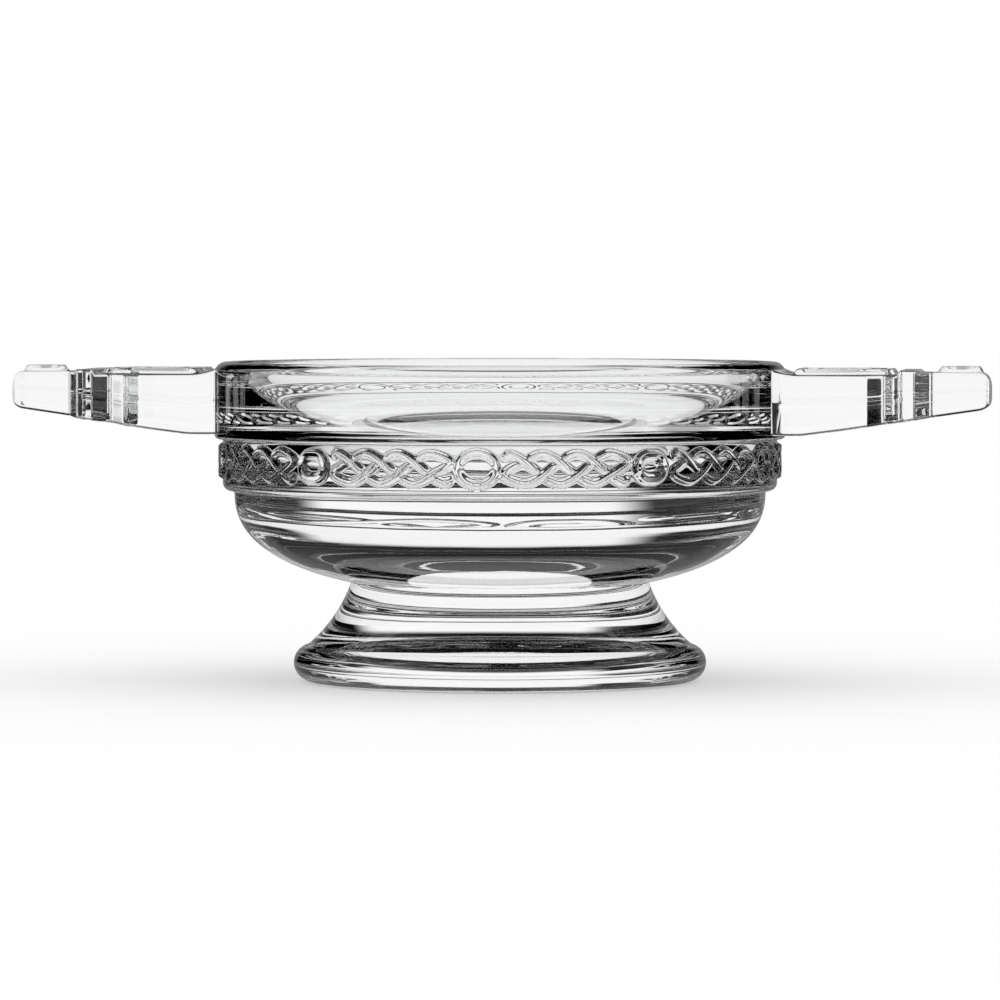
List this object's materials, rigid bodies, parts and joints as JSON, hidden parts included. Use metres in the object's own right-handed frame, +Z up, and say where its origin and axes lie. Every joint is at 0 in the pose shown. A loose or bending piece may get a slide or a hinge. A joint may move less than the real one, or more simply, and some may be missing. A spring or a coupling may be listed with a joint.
{
  "type": "quaich",
  "caption": "Shallow drinking cup in clear moulded glass with flat scalloped lugs for handles, a raised interlace band round a heavy bowl, and a flared foot.",
  "frame": {"origin": "on the table under the middle of the bowl, in the plane of the foot's resting face", "axes": "+Z up along the axis of the bowl, +X towards the right lug, -Y towards the viewer of the picture"},
  "size_m": [0.196, 0.114, 0.0637],
  "materials": {
    "clear_glass": "fire-polished clear",
    "bond_film": "clear cured film"
  },
  "bodies": {
    "root": {"foot": "clear_glass", "foot_bond": "bond_film", "bowl": "clear_glass", "band_plait": "clear_glass", "band_rings": "clear_glass", "band_roundels": "clear_glass", "left_lug_bond": "bond_film", "right_lug_bond": "bond_film", "left_lug": "clear_glass", "right_lug": "clear_glass", "left_lug_knot": "clear_glass", "right_lug_knot": "clear_glass"}
  },
  "joints": []
}
